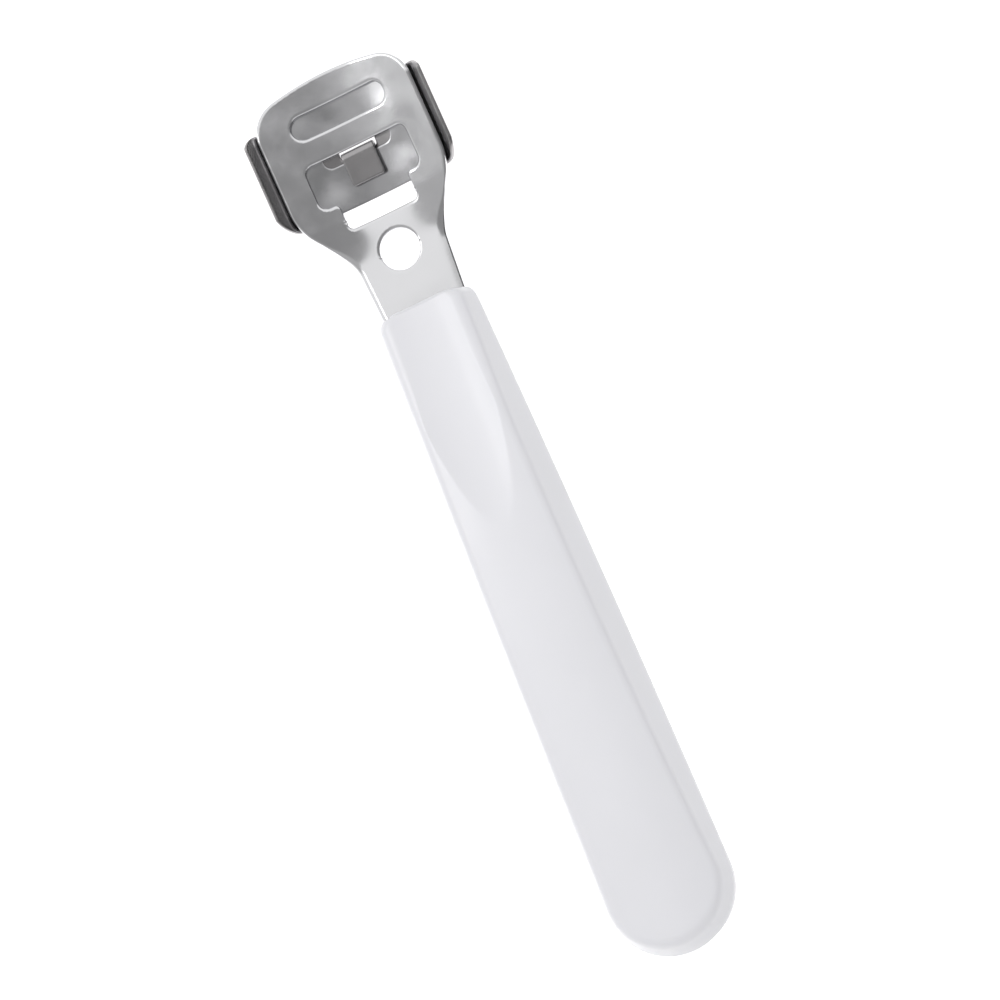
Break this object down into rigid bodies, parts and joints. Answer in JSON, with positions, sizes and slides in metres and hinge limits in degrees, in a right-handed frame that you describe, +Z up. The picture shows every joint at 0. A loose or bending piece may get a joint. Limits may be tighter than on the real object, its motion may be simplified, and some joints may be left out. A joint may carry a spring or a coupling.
{
  "type": "callus remover",
  "caption": "Hand callus remover: an arched steel head holding a thin blade behind a winged guard plate, on a white plastic handle with a thumb rest and a ribbed flat underside.",
  "frame": {"origin": "on the plane of the handle's flat underside, below the middle of the whole tool in plan", "axes": "+Y along the tool from the handle's round end to the head's tip, +Z up out of the back that carries the thumb rest, +X across to the right seen from above with the head away"},
  "size_m": [0.037, 0.1754, 0.0128],
  "materials": {
    "moulded_plastic": "moulded, soft gloss",
    "pressed_steel": "pressed and barrel polished",
    "blade_steel": "rolled, bright",
    "guard_steel": "pressed and barrel polished"
  },
  "bodies": {
    "root": {"handle": "moulded_plastic", "head_plate": "pressed_steel", "blade": "blade_steel", "guard_plate": "guard_steel"}
  },
  "joints": []
}
